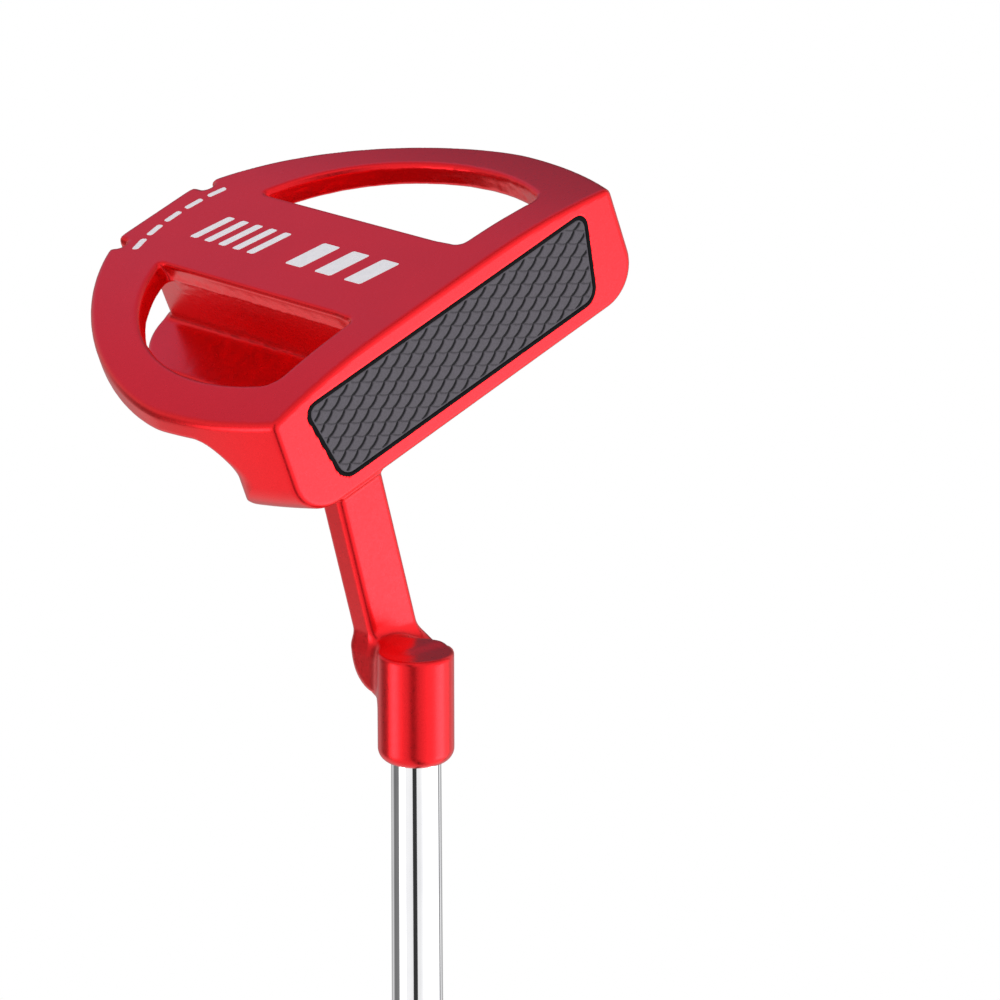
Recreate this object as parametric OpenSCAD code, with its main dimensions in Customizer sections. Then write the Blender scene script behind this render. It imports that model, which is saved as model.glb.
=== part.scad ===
// Golf putter: a mallet head with two white sighting discs, a forward crank neck,
// a tapered steel shaft and a two-colour grip, standing at address on its sole.
//
// Frame: millimetres, +Z up. The origin is on the flat middle of the sole, halfway
// between the leading edge and the rear of the head. The face looks along -Y, the
// heel and the shaft are on the +X side and the toe is on the -X side.

/* [Head] */
// Depth of the head, leading edge to rear
head_depth = 92; // [86:1:100]
// Height of the deck above the sole
deck_height = 25.5; // [23:0.5:28]
// Half the width of the striking face
face_half = 45.5; // [43:0.5:48]
// Half the width of the head at its widest
head_half = 50.9; // [49:0.1:53]
// Distance from the leading edge back to the widest place
widest_y = 30; // [26:1:34]
// Depth of the block behind the face, at the deck
block_depth = 13.5; // [12:0.5:14]
// Depth of the block's two ends, which stand further back than its middle
end_depth = 17.5; // [14:0.5:19]
// Thickness of the sole plate
sole_plate = 5; // [4:0.5:6]
// Rise of the curved sole at the ends of the face
sole_rise = 3; // [1:0.5:4]

/* [Sole openings] */
// Distance from the leading edge to the front of both openings
opening_front = 10.5; // [9.5:0.5:12]
// Half the width of the flat bar between the two openings
bar_half = 13.4; // [12:0.2:15]
// Half the width of the ellipse that bounds both openings
opening_half = 40.2; // [38:0.1:42]
// Reach of that ellipse behind the widest place
opening_reach = 43.2; // [40:0.2:48]
// Half the width of the rear lobe, between the two notches
lobe_half = 10.8; // [9:0.1:12]
// Distance that the rear lobe is set back from the ring's tips
lobe_back = 2.6; // [0:0.1:3]
// Width of each rear notch
notch_width = 2.6; // [2:0.1:4]
// Depth of each rear notch
notch_depth = 5.5; // [4:0.5:7]

/* [Sighting plate] */
// Half the width of the plate that carries the two discs
plate_half = 20.6; // [20:0.1:22]
// Thickness of the plate
plate_thick = 3.5; // [3:0.5:4]
// Distance from the leading edge to the centre of the front disc
front_disc_y = 30; // [29:0.5:31]
// Distance from the leading edge to the centre of the rear disc
rear_disc_y = 70.4; // [70:0.1:71]
// Radius of a white disc
disc_r = 17.8; // [17:0.1:18]
// Width of the dark ring round a disc
disc_ring = 0.5; // [0.4:0.1:0.8]
// Depth of a disc's pocket
disc_deep = 1.6; // [1.2:0.1:2]
// Half the width of the rib under the plate, where it leaves the sole bar
rib_base_half = 12.4; // [11:0.2:13]
// Half the width of the rib where it meets the plate
rib_top_half = 5.2; // [4:0.2:10]

/* [Face insert] */
// Half the width of the insert's pocket at its lower edge
insert_low_half = 38.4; // [36:0.2:40]
// Half the width of the insert's pocket at its upper edge
insert_top_half = 34.8; // [33:0.2:38]
// Height of the pocket's lower edge above the sole
insert_low_z = 3.8; // [3.5:0.1:4.5]
// Height of the pocket's upper edge above the sole
insert_top_z = 22.3; // [21:0.1:22.5]
// Radius of the pocket's corners
insert_corner = 3.2; // [2:0.1:4]
// Width of the black gasket round the insert
gasket = 0.8; // [0.4:0.1:1]
// Thickness of the insert
insert_thick = 4; // [3:0.5:5]
// Thickness of the bonding film behind the insert
film_thick = 0.3; // [0.2:0.1:0.4]

/* [Neck] */
// Distance of the post's toe side from the middle of the head, at the deck
post_x = 24.7; // [23:0.1:26]
// Width of the post
post_width = 11.6; // [10:0.2:12]
// Depth of the post
post_depth = 6.6; // [6:0.2:9]
// Distance from the leading edge to the front of the post
post_y = 1.1; // [0.5:0.1:2]
// Lean of the post towards the heel, in degrees
post_lean = 5.7; // [5:0.1:9]
// Distance of the crank arm's toe side from the shaft's axis
arm_toe = 11; // [9:0.5:12]
// Width of the crank arm
arm_width = 14; // [12:0.1:15]
// Distance of the crank arm's top below the socket's mouth, along the shaft
arm_drop = 11; // [10:0.5:12]
// Thickness of the crank arm
arm_thick = 9.5; // [9:0.5:10]

/* [Shaft] */
// Angle between the shaft and the ground, in degrees
lie_angle = 69; // [68:0.5:72]
// Length of the club along the shaft, ground to butt
club_length = 864; // [838:1:890]
// Distance of the shaft's axis ahead of the leading edge
shaft_lead = 8; // [7:0.5:9]
// Distance of the socket's mouth from the middle of the head, towards the heel
mouth_x = 44.8; // [44:0.1:46]
// Height of the socket's mouth
mouth_z = 78.5; // [77:0.5:80]
// Radius of the socket
socket_r = 7.4; // [7:0.05:7.5]
// Length of the socket
socket_length = 22; // [20:0.5:23]
// Depth of the socket's bore
socket_bore = 18; // [16:0.5:19]
// Radius of the shaft's tip
tip_r = 4.8; // [4.6:0.05:4.9]
// Radius of the shaft's butt
butt_r = 7.3; // [7:0.1:7.5]
// Thickness of the shaft's wall
shaft_wall = 0.6; // [0.5:0.1:1]
// Thickness of the epoxy between shaft and socket
epoxy_thick = 0.2; // [0.15:0.05:0.3]

/* [Grip] */
// Length of the grip
grip_length = 285; // [267:1:300]
// Share of the length taken by the black lower sleeve
lower_share = 0.53; // [0.5:0.01:0.56]
// Radius of the grip at its mouth
mouth_r = 11.6; // [11:0.1:12]
// Radius of the grip at its waist
waist_r = 10.2; // [10:0.1:10.6]
// Radius of the grip at its butt
end_r = 11; // [10.6:0.1:12]
// Thickness of the outer sleeves
sleeve_thick = 1.2; // [1:0.1:1.3]
// Thickness of the double-sided tape
tape_thick = 0.3; // [0.2:0.1:0.4]
// Distance of the flat front from the shaft's axis, as a share of the radius
flat_share = 0.9; // [0.88:0.01:0.95]
// Length of the black butt cap
cap_length = 7; // [6:0.5:9]
// Length of the rubber ring at the grip's mouth
lip_length = 3; // [2:0.5:4]
// Radius of the vent hole in the butt cap
vent_r = 1.5; // [1:0.1:2]
// Radius of the seam's thread
seam_r = 0.45; // [0.4:0.05:0.6]

/* [Hidden] */
$fn = 96;
over = 1;                                  // how far a cutting tool runs past a face
face_y = -head_depth / 2;                  // where the leading edge is
plate_low = deck_height - plate_thick;
rear_reach = head_depth - widest_y;        // rear of the head behind the widest place
outline_power = 1.66;                      // how full the rear curve is: 2 is an ellipse
camber_r = pow(face_half - bar_half, 2) / (2 * sole_rise);
flare = head_half - face_half;
shoulder_r = 8.2;                          // round shoulders of the block
shoulder_z = deck_height - shoulder_r;
opening_corner = 3.5;
rib_rear_low = 78;                         // rear end of the rib at the sole plate
rib_rear_top = 89.3;                       // and at the sighting plate
mark_deep = 0.3;                           // depth of the paint-filled marks
socket_r_in = tip_r + epoxy_thick;
post_height = 38.5;                        // the post ends inside the crank arm
ground_s = mouth_z / sin(lie_angle);       // from the ground to the mouth, along the axis
butt_s = club_length - ground_s;           // from the mouth to the butt
grip_s = butt_s - grip_length;             // from the mouth to the grip's mouth
cap_s = butt_s - cap_length;
split_s = grip_s + grip_length * lower_share;
shaft_top_s = butt_s - 3;                  // the shaft ends inside the butt cap
plug_clear = 0.02;                         // gap that keeps thin layers apart

// Half the width of the head at a distance y behind the leading edge.
function half_width(y) = y < widest_y
    ? head_half - flare * pow((widest_y - y) / widest_y, 2)
    : head_half * pow(max(0, 1 - pow((y - widest_y) / rear_reach, outline_power)), 1 / outline_power);

// Height of the curved sole at a distance x from the middle.
function sole_z(x) = abs(x) < bar_half
    ? 0
    : camber_r - sqrt(pow(camber_r, 2) - pow(abs(x) - bar_half, 2));

// Outer radius of the shaft at a distance s from the socket's mouth.
function shaft_r(s) = tip_r + (butt_r - tip_r) * (s + socket_bore) / (shaft_top_s + socket_bore);

// Outer radius of the grip at a distance s from the socket's mouth.
function grip_r(s) = s < grip_s + grip_length / 3
    ? waist_r + (mouth_r - waist_r) * pow(1 - 3 * (s - grip_s) / grip_length, 2)
    : waist_r + (end_r - waist_r) * (s - grip_s - grip_length / 3) / (grip_length * 2 / 3);

// Places along the grip where its outline has a point.
function steps(from, to, count) = [for (i = [0:count]) from + (to - from) * i / count];

// ---------- placing ----------

// Puts a child, drawn from the leading edge back, in the part's frame.
module behind_face() {
    translate([0, face_y, 0]) children();
}

// Puts a child, drawn up from the socket's mouth, on the shaft's axis.
module on_shaft() {
    translate([mouth_x, face_y - shaft_lead, mouth_z]) rotate([0, 90 - lie_angle, 0]) children();
}

// Mirrors a child to both sides of the middle.
module both_sides() {
    children();
    mirror([1, 0, 0]) children();
}

// ---------- head ----------

// Outline of the head seen from above, leading edge at y = 0.
module head_outline() {
    front = [for (y = steps(0, widest_y, 12)) [half_width(y), y]];
    rear = [for (a = steps(3.75, 90, 23))
        [head_half * pow(cos(a), 2 / outline_power),
         widest_y + rear_reach * pow(sin(a), 2 / outline_power)]];
    right = concat(front, rear);
    left = [for (i = [len(right) - 2:-1:0]) [-right[i][0], right[i][1]]];
    polygon(concat(right, left));
}

// One opening in the sole plate, on the +X side.
module opening_outline() {
    difference() {
        intersection() {
            translate([0, widest_y]) scale([opening_half / opening_reach, 1]) circle(opening_reach);
            translate([bar_half, opening_front]) square([opening_half, head_depth]);
        }
        opening_corner_cut();
    }
}

// Rounds the outer front corner of an opening.
module opening_corner_cut() {
    corner_x = opening_half - 1.6 - opening_corner;
    difference() {
        translate([corner_x, opening_front - over]) square(opening_corner + over);
        translate([corner_x, opening_front + opening_corner]) circle(opening_corner);
    }
}

// One rear notch, on the +X side.
module notch_outline() {
    translate([lobe_half, head_depth - notch_depth]) {
        square([notch_width, notch_depth + over]);
        translate([notch_width / 2, 0]) circle(notch_width / 2);
    }
}

// Front view of the sole plate: flat in the middle and curving up to both ends.
module sole_profile() {
    low = [for (x = steps(bar_half, head_half + over, 10)) [x, sole_z(x)]];
    high = [for (i = [len(low) - 1:-1:0]) [low[i][0], low[i][1] + sole_plate]];
    right = concat(low, high);
    left = [for (p = right) [-p[0], p[1]]];
    polygon(right);
    polygon(left);
    translate([-bar_half, 0]) square([2 * bar_half, sole_plate]);
}

// Front view of the block: the curved sole below and round shoulders above.
module block_profile() {
    low = [for (x = steps(bar_half, head_half + over, 10)) [x, sole_z(x)]];
    shoulder_x = face_half - shoulder_r;
    high = [for (a = steps(0, 90, 12))
        [shoulder_x + shoulder_r * cos(a), shoulder_z + shoulder_r * sin(a)]];
    right = concat(low, high);
    left = [for (i = [len(right) - 1:-1:0]) [-right[i][0], right[i][1]]];
    polygon(concat(right, left));
}

// Stands a front view up and runs it back from the face.
module run_back(depth) {
    translate([0, depth, 0]) rotate([90, 0, 0]) linear_extrude(depth) children();
}

// Stands a side view up and runs it across the whole head.
module run_across() {
    translate([-head_half, 0, 0]) rotate([90, 0, 90]) linear_extrude(2 * head_half) children();
}

// The sole plate with its two openings and two notches.
module sole_ring() {
    intersection() {
        linear_extrude(deck_height) difference() {
            head_outline();
            both_sides() opening_outline();
            both_sides() notch_outline();
            translate([-lobe_half - notch_width, head_depth - lobe_back])
                square([2 * (lobe_half + notch_width), head_depth]);
        }
        run_back(head_depth + over) sole_profile();
    }
}

// The block behind the face. Its rear wall leans back from the openings to the deck.
module face_block() {
    intersection() {
        linear_extrude(deck_height) intersection() {
            head_outline();
            translate([-head_half, 0]) square([2 * head_half, block_depth]);
        }
        run_back(block_depth) block_profile();
        run_across() polygon([[-over, -over], [opening_front, -over], [opening_front, sole_plate],
            [block_depth, plate_low], [block_depth, deck_height + over], [-over, deck_height + over]]);
    }
}

// The block's two ends, which run further back and flare out onto the sole plate.
module block_ends() {
    flare_z = 10;
    intersection() {
        linear_extrude(deck_height) intersection() {
            head_outline();
            both_sides() translate([opening_half - 1, 0]) square([head_half, head_depth]);
        }
        run_back(head_depth) block_profile();
        run_across() polygon([[over, sole_rise], [end_depth + 4, sole_rise],
            [end_depth + 4, sole_plate + 2], [end_depth, flare_z], [end_depth, deck_height + over],
            [over, deck_height + over]]);
    }
}

// The rib that joins the sole bar to the sighting plate, narrower at its top.
module rib() {
    low = sole_plate - 0.5;
    high = plate_low + 0.5;
    intersection() {
        run_back(head_depth) polygon([[-rib_base_half, low], [rib_base_half, low],
            [rib_top_half, high], [-rib_top_half, high]]);
        run_across() polygon([[opening_front - over, low], [rib_rear_low, low],
            [rib_rear_top, high], [opening_front - over, high]]);
    }
}

// The plate that carries the two discs.
module sighting_plate() {
    translate([0, 0, plate_low]) {
        translate([-plate_half, block_depth - over, 0])
            cube([2 * plate_half, rear_disc_y - block_depth + over, plate_thick]);
        translate([0, rear_disc_y, 0]) cylinder(h = plate_thick, r = plate_half);
    }
}

// Outline of the insert's pocket, drawn inwards by a margin.
module insert_outline(margin) {
    r = insert_corner;
    slope = (insert_low_half - insert_top_half) / (insert_top_z - insert_low_z);
    low = insert_low_z + r;
    high = insert_top_z - r;
    low_x = insert_low_half - r - slope * r;
    high_x = insert_top_half - r + slope * r;
    small = r - margin;
    both_sides() {
        polygon([[-over, low - small], [low_x, low - small], [low_x + small, low],
            [high_x + small, high], [high_x, high + small], [-over, high + small]]);
        translate([low_x, low]) circle(small);
        translate([high_x, high]) circle(small);
    }
}

// A slab of the insert's outline, between two depths behind the face.
module insert_slab(margin, from, to) {
    translate([0, from, 0]) run_back(to - from) insert_outline(margin);
}

// The slanted dashes painted on the sole bar: wide ones in front, narrow ones behind.
module bar_marks() {
    for (i = [0:2])
        translate([0, 17 + 9 * i, 0]) bar_mark(5);
    for (i = [0:4])
        translate([0, 50 + 4.5 * i, 0]) bar_mark(2.2);
}

module bar_mark(width) {
    linear_extrude(mark_deep)
        polygon([[-4.4, 0], [4.4, 2.4], [4.4, 2.4 + width], [-4.4, width]]);
}

// The dashes painted round the rear lobe, one curved row.
module lobe_marks() {
    for (i = [-2:2])
        translate([0, rear_disc_y - 20, 0]) rotate(-9.5 * i) translate([-2, 32, 0])
            cube([4, 1.6, mark_deep]);
}

module sole_marks() {
    bar_marks();
    lobe_marks();
}

// A disc pocket's cylinder, sunk from the deck.
module disc_at(y, r, from, to) {
    translate([0, y, deck_height - to]) cylinder(h = to - from, r = r);
}

module head_body() {
    color("crimson") behind_face() difference() {
        union() {
            sole_ring();
            face_block();
            block_ends();
            rib();
            sighting_plate();
        }
        insert_slab(0, -over, insert_thick + film_thick);
        for (y = [front_disc_y, rear_disc_y])
            disc_at(y, disc_r + disc_ring, -over, disc_deep);
        sole_marks();
    }
}

module face_insert() {
    color("dimgray") behind_face() insert_slab(gasket + plug_clear, 0, insert_thick);
}

module insert_gasket() {
    color("black") behind_face() difference() {
        insert_slab(plug_clear, 0, insert_thick);
        insert_slab(gasket, -over, insert_thick + over);
    }
}

module insert_film() {
    color("gray") behind_face()
        insert_slab(plug_clear, insert_thick, insert_thick + film_thick);
}

module white_disc(y) {
    color("white") behind_face() disc_at(y, disc_r, 0, disc_deep - film_thick);
}

module front_disc() {
    white_disc(front_disc_y);
}

module rear_disc() {
    white_disc(rear_disc_y);
}

module dark_ring(y) {
    color("black") behind_face() difference() {
        disc_at(y, disc_r + disc_ring, 0, disc_deep - film_thick);
        disc_at(y, disc_r, -over, disc_deep + over);
    }
}

module front_disc_ring() {
    dark_ring(front_disc_y);
}

module rear_disc_ring() {
    dark_ring(rear_disc_y);
}

module disc_film(y) {
    color("gray") behind_face() disc_at(y, disc_r + disc_ring, disc_deep - film_thick, disc_deep);
}

module front_disc_film() {
    disc_film(front_disc_y);
}

module rear_disc_film() {
    disc_film(rear_disc_y);
}

module sole_paint_marks() {
    color("white") behind_face() sole_marks();
}

// ---------- neck and shaft ----------

// Leaning post between the deck and the crank arm.
module neck_post() {
    height = mouth_z - deck_height;
    intersection() {
        translate([post_x, post_y, deck_height]) rotate([0, post_lean, 0])
            translate([0, 0, -height]) cube([post_width, post_depth, 2 * height]);
        translate([0, 0, deck_height]) cube([head_half, block_depth, post_height]);
    }
}

// Crank arm from the socket back to the post's top, square to the shaft, with a round
// rear corner.
module neck_arm() {
    arm_r = 6;
    reach = shaft_lead + post_y + post_depth;
    translate([-arm_toe, 0, -arm_drop - arm_thick]) {
        cube([arm_width, reach - arm_r, arm_thick]);
        translate([0, reach - arm_r - over, 0]) cube([arm_width, arm_r + over, arm_thick - arm_r]);
        translate([0, reach - arm_r, arm_thick - arm_r]) rotate([0, 90, 0])
            cylinder(h = arm_width, r = arm_r);
    }
}

module neck() {
    rim = 1;
    color("firebrick") difference() {
        union() {
            behind_face() neck_post();
            on_shaft() neck_arm();
            on_shaft() rotate_extrude() polygon([[0, -socket_length], [socket_r - rim, -socket_length],
                [socket_r, -socket_length + rim], [socket_r, -rim], [socket_r - rim, 0], [0, 0]]);
        }
        on_shaft() translate([0, 0, -socket_bore]) cylinder(h = socket_bore + over, r = socket_r_in);
    }
}

module epoxy_sleeve() {
    color("dimgray") on_shaft() rotate_extrude() polygon([[shaft_r(-socket_bore), -socket_bore],
        [socket_r_in, -socket_bore], [socket_r_in, -1], [shaft_r(-1), -1]]);
}

module shaft() {
    low = -socket_bore;
    color("silver") on_shaft() rotate_extrude() polygon([[shaft_r(low) - shaft_wall, low],
        [shaft_r(low), low], [shaft_r(shaft_top_s), shaft_top_s],
        [shaft_r(shaft_top_s) - shaft_wall, shaft_top_s]]);
}

// ---------- grip ----------

// The grip's body between two places, a depth below its skin, with its flat front.
// The flat is on the side that faces away from the player.
module grip_solid(from, to, below) {
    width = 2 * mouth_r;
    outer = [for (s = steps(from, to, 12)) [grip_r(s) - below, s]];
    difference() {
        rotate_extrude() polygon(concat([[0, from]], outer, [[0, to]]));
        translate([-flat_share * waist_r + below - width, -width / 2, from - over])
            cube([width, width, to - from + 2 * over]);
    }
}

// One outer sleeve between two places, with the seam's groove down its back.
module grip_sleeve(from, to) {
    difference() {
        grip_solid(from, to, 0);
        grip_solid(from - over, to + over, sleeve_thick);
        seam_run();
    }
}

// A part of the grip that goes in as far as the tape.
module grip_to_tape(from, to, below) {
    low = from - over;
    high = to + over;
    difference() {
        grip_solid(from, to, below);
        rotate_extrude() polygon([[0, low], [shaft_r(low) + tape_thick, low],
            [shaft_r(high) + tape_thick, high], [0, high]]);
    }
}

module grip_tape() {
    color("khaki") on_shaft() rotate_extrude() polygon([[shaft_r(grip_s), grip_s],
        [shaft_r(grip_s) + tape_thick, grip_s], [shaft_r(cap_s) + tape_thick, cap_s],
        [shaft_r(cap_s), cap_s]]);
}

module grip_core() {
    color("gray") on_shaft() grip_to_tape(grip_s + lip_length, cap_s, sleeve_thick);
}

module grip_lip() {
    color("black") on_shaft() grip_to_tape(grip_s, grip_s + lip_length, 0);
}

module grip_lower_sleeve() {
    color("black") on_shaft() difference() {
        grip_sleeve(grip_s + lip_length, split_s);
        grip_marks(over);
    }
}

module grip_upper_sleeve() {
    color("red") on_shaft() grip_sleeve(split_s, cap_s);
}

// The seam, a straight thread along the back of the grip behind its waist.
module seam_run() {
    run = grip_length * 2 / 3;
    rise = atan((end_r - waist_r) / run);
    translate([waist_r, 0, grip_s + grip_length - run]) rotate([0, rise, 0])
        cylinder(h = run - cap_length - over, r = seam_r, $fn = 24);
}

module grip_seam() {
    color("white") on_shaft() seam_run();
}

// A short row of dashes on the side of the lower sleeve, a height above the paint's bed.
module grip_marks(height) {
    for (i = [0:5])
        translate([-1, waist_r - 0.1 - mark_deep, grip_s + 98 + 8 * i]) cube([2, height, 5]);
}

module grip_paint_marks() {
    color("white") on_shaft() grip_marks(mark_deep);
}

module butt_cap() {
    dome = 2;
    bore_low = shaft_r(cap_s) + tape_thick;
    color("black") on_shaft() difference() {
        grip_solid(cap_s, butt_s, 0);
        rotate_extrude() polygon([[0, cap_s - over], [bore_low, cap_s - over],
            [bore_low, shaft_top_s], [0, shaft_top_s]]);
        cap_rim_cut(dome);
        translate([0, 0, shaft_top_s - over]) cylinder(h = cap_length, r = vent_r);
    }
}

// Slopes the rim of the butt cap.
module cap_rim_cut(dome) {
    rim = grip_r(butt_s);
    rotate_extrude() polygon([[rim - dome, butt_s + over], [rim - dome, butt_s],
        [rim, butt_s - dome], [rim + over, butt_s - dome], [rim + over, butt_s + over]]);
}

head_body();
face_insert();
insert_gasket();
insert_film();
front_disc();
rear_disc();
front_disc_ring();
rear_disc_ring();
front_disc_film();
rear_disc_film();
sole_paint_marks();
neck();
epoxy_sleeve();
shaft();
grip_tape();
grip_core();
grip_lip();
grip_lower_sleeve();
grip_upper_sleeve();
grip_paint_marks();
grip_seam();
butt_cap();
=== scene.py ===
"""Golf putter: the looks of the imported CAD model, in metres and in the CAD's frame.

The CAD's face looks along -Y, the heel and the shaft are on the +X side. Lengths below are
millimetres measured as in the CAD: x from the middle of the head, y back from the leading
edge and z up from the sole. FACE_Y and shaft_matrix() put them in the frame.
"""

import math

import bmesh
import bpy
import numpy as np
from mathutils import Matrix, Vector


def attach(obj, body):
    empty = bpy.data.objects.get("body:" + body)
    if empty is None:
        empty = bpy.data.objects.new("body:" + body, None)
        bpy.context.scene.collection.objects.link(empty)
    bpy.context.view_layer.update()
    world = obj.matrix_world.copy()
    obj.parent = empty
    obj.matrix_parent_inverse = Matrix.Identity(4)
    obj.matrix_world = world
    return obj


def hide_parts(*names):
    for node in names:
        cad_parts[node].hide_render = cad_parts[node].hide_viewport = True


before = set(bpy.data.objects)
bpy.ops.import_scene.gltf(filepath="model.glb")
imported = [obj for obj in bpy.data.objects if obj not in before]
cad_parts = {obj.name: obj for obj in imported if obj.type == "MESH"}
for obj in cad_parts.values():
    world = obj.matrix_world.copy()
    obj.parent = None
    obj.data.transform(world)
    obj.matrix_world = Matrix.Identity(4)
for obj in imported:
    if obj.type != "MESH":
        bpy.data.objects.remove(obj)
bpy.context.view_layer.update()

MM = 0.001

# ---------- sizes shared with the CAD, in millimetres ----------

HEAD_DEPTH = 92.0
DECK = 25.5
FACE_HALF = 45.5
HEAD_HALF = 50.9
WIDEST_Y = 30.0
BLOCK_DEPTH = 13.5
END_DEPTH = 17.5
OPENING_FRONT = 10.5
SOLE_PLATE = 5.0
SOLE_RISE = 3.0
BAR_HALF = 13.4
OPENING_HALF = 40.2
OPENING_REACH = 43.2
LOBE_HALF = 10.8
LOBE_BACK = 2.6
NOTCH_WIDTH = 2.6
NOTCH_DEPTH = 5.5
PLATE_HALF = 20.6
PLATE_LOW = 22.0
DISC_Y = {"front": 30.0, "rear": 70.4}
DISC_R = 17.8
DISC_RING = 0.5
RIB_BASE = 12.4
RIB_TOP = 5.2
RIB_REAR_LOW = 78.0
RIB_REAR_TOP = 89.3
INSERT_LOW_HALF = 38.4
INSERT_TOP_HALF = 34.8
INSERT_LOW = 3.8
INSERT_TOP = 22.3
INSERT_CORNER = 3.2
GASKET = 0.8
SHOULDER = 8.2
OUTLINE_POWER = 1.66
POST_X = 24.7
POST_WIDTH = 11.6
POST_DEPTH = 6.6
POST_Y = 1.1
POST_HEIGHT = 38.5
POST_LEAN = math.radians(5.7)
ARM_DROP = 11.0
ARM_THICK = 9.5
ARM_TOE = 11.0
# 0.4 mm less than in the CAD, which meets the outline in the photograph better.
ARM_WIDTH = 13.6
LIE = math.radians(69)
CLUB_LENGTH = 864.0
SHAFT_LEAD = 8.0
MOUTH_X = 44.8
MOUTH_Z = 78.5
SOCKET_R = 7.4
SOCKET_LENGTH = 22.0
SOCKET_BORE = 18.0
TIP_R = 4.8
BUTT_R = 7.3
SHAFT_WALL = 0.6
GRIP_LENGTH = 285.0
LOWER_SHARE = 0.53
GRIP_MOUTH_R = 11.6
GRIP_WAIST_R = 10.2
GRIP_END_R = 11.0
SLEEVE = 1.2
FLAT_SHARE = 0.9
FLAT_SOFT = 0.35
CAP_LENGTH = 7.0
CAP_END = 3.0
LIP_LENGTH = 3.0
SHAFT_GAP = 0.35
VENT_R = 1.5

# ---------- edges, fillets and sunk faces, in millimetres ----------

WINDOW_FRONT = 7.0
WINDOW_CORNER = 2.0
WINDOW_EDGE = 1.5
RING_EDGE = 0.9
NOTCH_EDGE = 0.7
PLATE_EDGE = 1.0
RIB_EDGE = 1.6
RIB_FILLET = 1.8
DECK_EDGE = 1.3
SIDE_EDGE = 1.5
SOLE_EDGE = 1.3
FACE_EDGE = 1.0
DISC_SINK = 0.3
INSERT_SINK = 0.45
SOCKET_TOP_EDGE = 2.8
SOCKET_LOW_EDGE = 0.8
SOCKET_FILLET = 3.6
ARM_CORNER = 7.5
ARM_EDGE = 1.6
ARM_LOW_EDGE = 0.8
ARM_FRONT = 0.8
POST_EDGE = 1.5
POST_FILLET = 4.0
FOOT_FILLET = 1.3
FOOT_REACH = 1.25
FOOT_FRONT = 0.3
SCALE_DEPTH = 0.3
SCALE_WIDE = 5.3
SCALE_ROW = 1.51
SCALE_POWER = 1.7
DASH_HALF = 4.4
DASH_SLANT = 2.4
# First place, spacing, number and width of the dashes on the bar.
BAR_DASHES = [(17, 9, 3, 5.0), (50, 4.5, 5, 2.2)]
LOBE_DASH_TURN = math.radians(9.5)
LOBE_DASH = (2.0, 32.0, 33.6)
PAINT_LOW = -0.03
PAINT_HIGH = 0.25
SEAM_DEEP = 0.28
STITCH_SPACE = 2.4
GRIP_AROUND = 192

# Two corners of the box round each surface net, and the size of its cells.
HEAD_NET = ((-52, -1.2, -0.9), (52, 93.5, 26.6), (0.58, 0.58, 0.5))
NECK_NET = ((22, -17, 24.6), (57, 12, 83), (0.42, 0.42, 0.42))

# ---------- studio ----------

# Direction, start and end of the fade (cosine of the angle from it), and the gain at its middle.
LOBES = [
    ((-0.49, 0.70, -0.52), 0.35, 0.95, 0.6),
    ((0.68, -0.73, 0.03), 0.8, 1.0, 0.9),
    ((-0.49, -0.72, 0.49), 0.4, 0.95, 1.45),
    ((0.94, 0.34, -0.05), 0.94, 0.994, 5.0),
    ((0.58, 0.81, 0.0), 0.84, 0.97, 0.2),
    ((-0.74, 0.67, 0.02), 0.87, 0.97, 0.4),
    ((-0.49, 0.72, 0.49), 0.62, 0.9, 0.45),
]
# Colour of what the sole reflects, and the fade round the first lobe's direction.
SOLE_TINT = (1.0, 0.76, 1.22)
SOLE_FADE = (0.75, 0.95)
# Azimuth of a dark upright strip, half its width in degrees, and how dark it is.
STRIPS = [(-39.0, 9.0, 0.96), (-173.0, 5.0, 0.8), (-140.0, 28.0, 0.1), (60.0, 6.0, 0.1)]
# Metres from the object at which the floor starts to fade, and is gone.
FLOOR_FADE = (0.3, 2.6)
KEY_PLACE = (-0.75, -1.5, 1.3)
KEY_TARGET = (0, 0, 0.03)
KEY_SIZE = 1.0
KEY_WATTS = 13
IMAGE_PIXELS = 1000
SENSOR = 36.0
FOCAL_PIXELS = 5230.6
CAMERA_AT = (0.50271, -0.78147, -0.45210)
CAMERA_RIGHT = (-0.70097, -0.66020, 0.26975)
CAMERA_AHEAD = (-0.49086, 0.72101, 0.48909)

# ---------- what follows from the sizes ----------

FACE_Y = -HEAD_DEPTH / 2
BUTT_S = CLUB_LENGTH - MOUTH_Z / math.sin(LIE)
SHAFT_TOP_S = BUTT_S - CAP_END
GRIP_S = BUTT_S - GRIP_LENGTH
CAP_S = BUTT_S - CAP_LENGTH
SPLIT_S = GRIP_S + GRIP_LENGTH * LOWER_SHARE
CAMBER_R = (FACE_HALF - BAR_HALF) ** 2 / (2 * SOLE_RISE)

# The shaft's frame: w runs up the shaft, v is +Y, u is square to both, towards the heel.
SHAFT_U = np.array([math.sin(LIE), 0.0, -math.cos(LIE)])
SHAFT_W = np.array([math.cos(LIE), 0.0, math.sin(LIE)])
MOUTH = np.array([MOUTH_X, -SHAFT_LEAD, MOUTH_Z])


def shaft_matrix():
    """Places a piece, drawn in metres round the w axis from the socket's mouth."""
    turn = Matrix((SHAFT_U, (0.0, 1.0, 0.0), SHAFT_W)).transposed().to_4x4()
    place = Matrix.Translation(Vector(MOUTH + [0, FACE_Y, 0]) * MM)
    return place @ turn


# ---------- small mesh helpers ----------

def add_object(name, mesh, material):
    """A new object with one mesh and one material."""
    piece = bpy.data.objects.new(name, mesh)
    bpy.context.scene.collection.objects.link(piece)
    mesh.materials.append(material)
    return piece


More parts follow.
